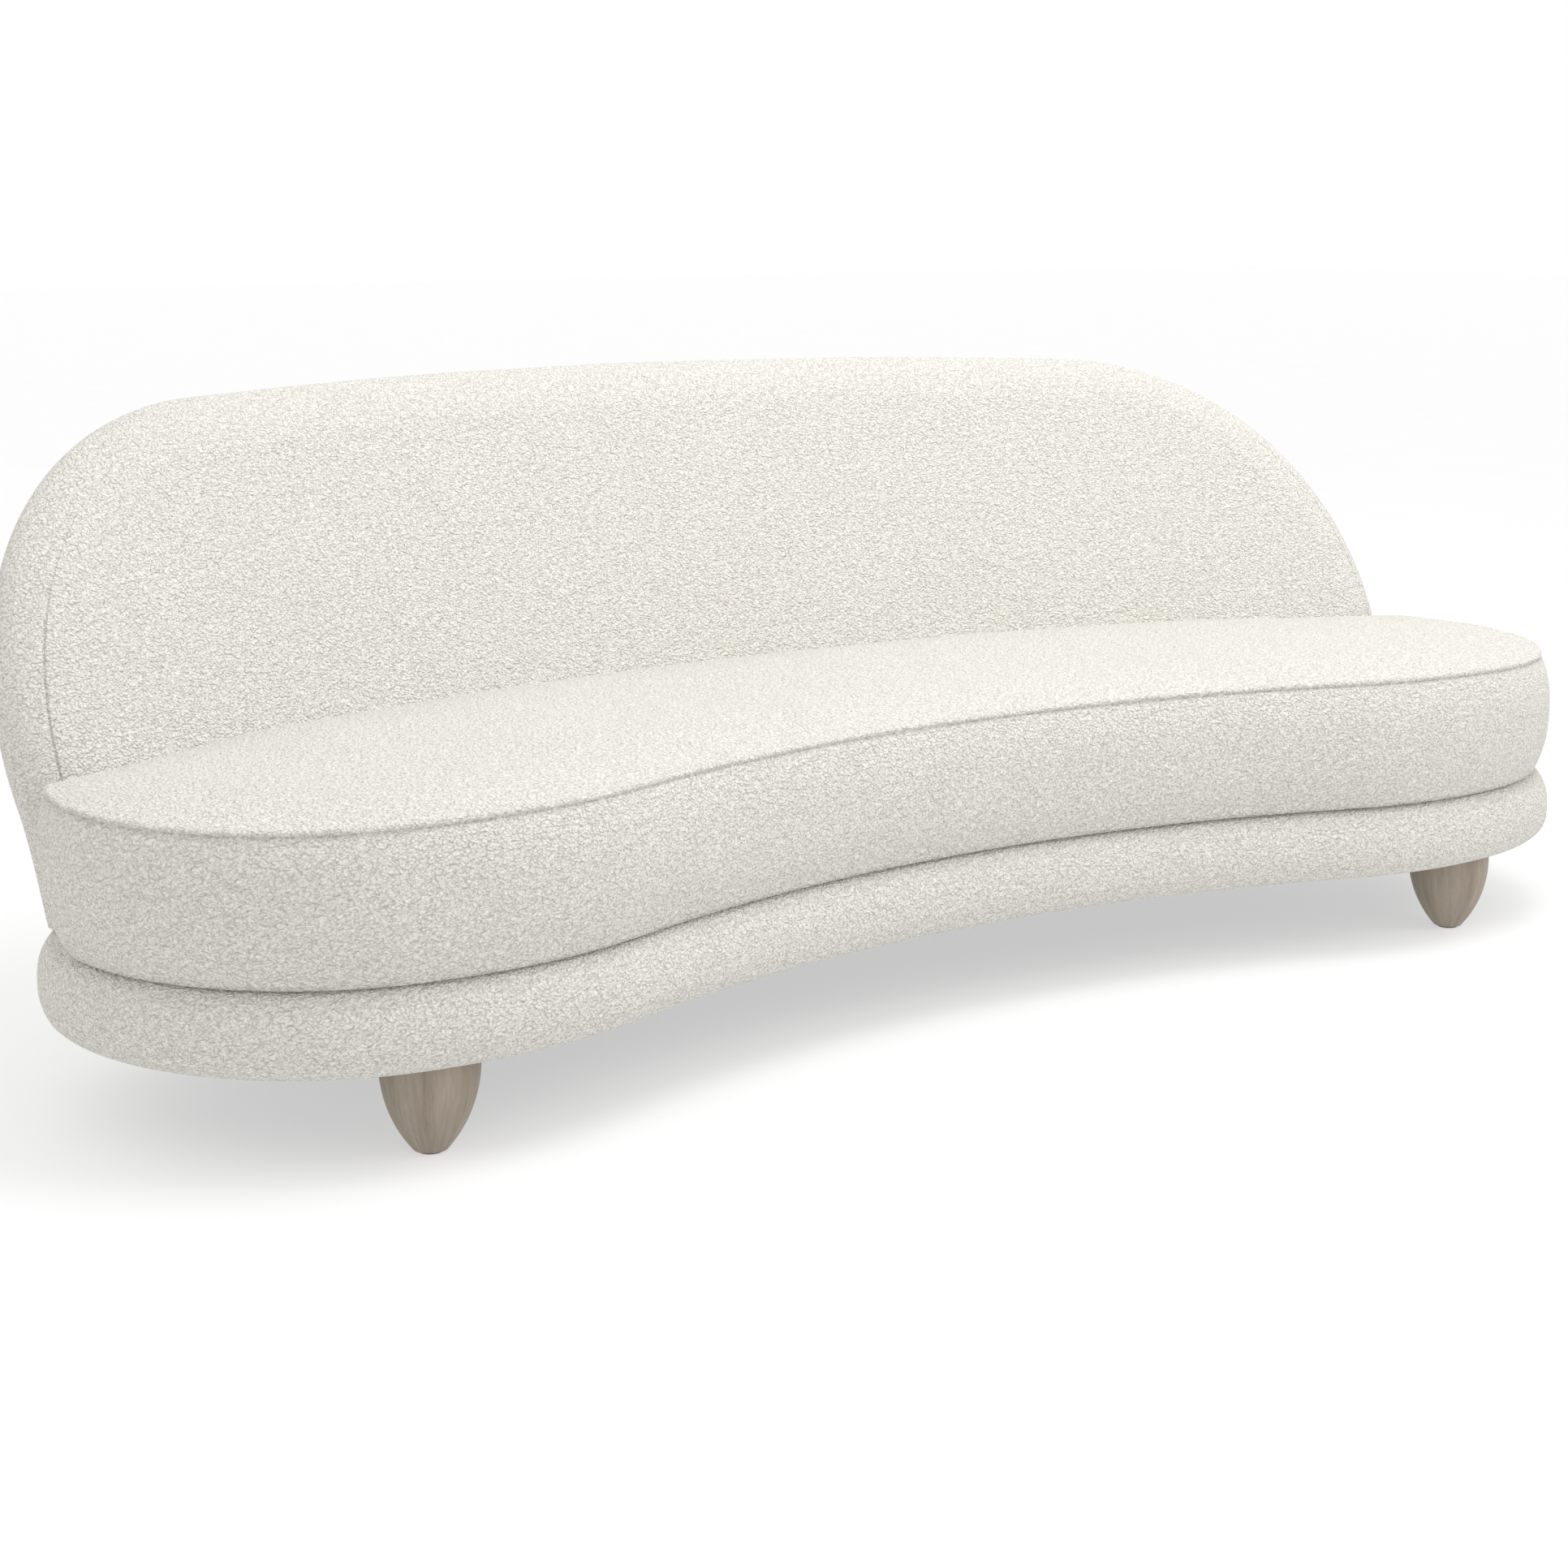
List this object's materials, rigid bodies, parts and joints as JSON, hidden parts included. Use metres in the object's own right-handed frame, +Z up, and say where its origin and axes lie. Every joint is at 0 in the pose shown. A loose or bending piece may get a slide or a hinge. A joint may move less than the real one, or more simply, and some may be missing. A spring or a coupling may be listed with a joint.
{
  "type": "curved sofa",
  "caption": "Curved sofa with a kidney-shaped seat, a loose bench cushion on a padded plinth, a bowed raked back with round corners, and turned tapered wooden legs.",
  "frame": {"origin": "on the floor under the middle of the sofa's box", "axes": "+X along the sofa's length, to the right seen from the front; +Y from the hollow front towards the back; +Z up"},
  "size_m": [2.4382, 1.0817, 0.848],
  "materials": {
    "boucle": "cream looped upholstery cloth",
    "deck_cloth": "plain woven lining cloth",
    "dust_cloth": "black non-woven cloth",
    "webbing": "woven elastic strap",
    "foam": "cut polyurethane foam",
    "fibre": "polyester fibre",
    "plywood": "raw birch plywood and hardwood",
    "leg_wood": "matt taupe stained hardwood",
    "zinc_steel": "zinc plated",
    "glide_plastic": "moulded nylon"
  },
  "bodies": {
    "frame": {"back_bolts": "zinc_steel", "back_bottom_rail": "plywood", "back_edge_band": "boucle", "back_edge_foam": "foam", "back_front_foam": "foam", "back_front_rim": "plywood", "back_nuts": "zinc_steel", "back_posts": "plywood", "back_rear_foam": "foam", "back_rear_rim": "plywood", "back_webbing": "webbing", "base_bottom_board": "plywood", "base_cover": "boucle", "base_cross_rails": "plywood", "base_front_foam": "foam", "base_front_rail": "plywood", "base_left_end_rail": "plywood", "base_left_foam": "foam", "base_rear_foam": "foam", "base_rear_rail": "plywood", "base_rear_struts": "plywood", "base_right_end_rail": "plywood", "base_right_foam": "foam", "deck_cloth": "deck_cloth", "deck_pad": "foam", "dust_cover": "dust_cloth", "front_left_leg": "leg_wood", "front_right_leg": "leg_wood", "inside_back_cover": "boucle", "leg_blocks": "plywood", "leg_bolts": "zinc_steel", "leg_glides": "glide_plastic", "leg_t_nuts": "zinc_steel", "outside_back_cover": "boucle", "rail_screws": "zinc_steel", "rear_deck_board": "plywood", "rear_left_leg": "leg_wood", "rear_right_leg": "leg_wood", "seat_rear_rail": "plywood", "seat_webbing": "webbing"},
    "seat_cushion": {"cushion_bottom_panel": "deck_cloth", "cushion_boxing": "boucle", "cushion_fibre_wrap": "fibre", "cushion_foam_core": "foam", "cushion_top_panel": "boucle"}
  },
  "joints": [
    {"name": "cushion_lift", "type": "slide", "parent": "frame", "child": "seat_cushion", "axis": [0, 0, 1], "range_m": [0, 0.25]}
  ]
}
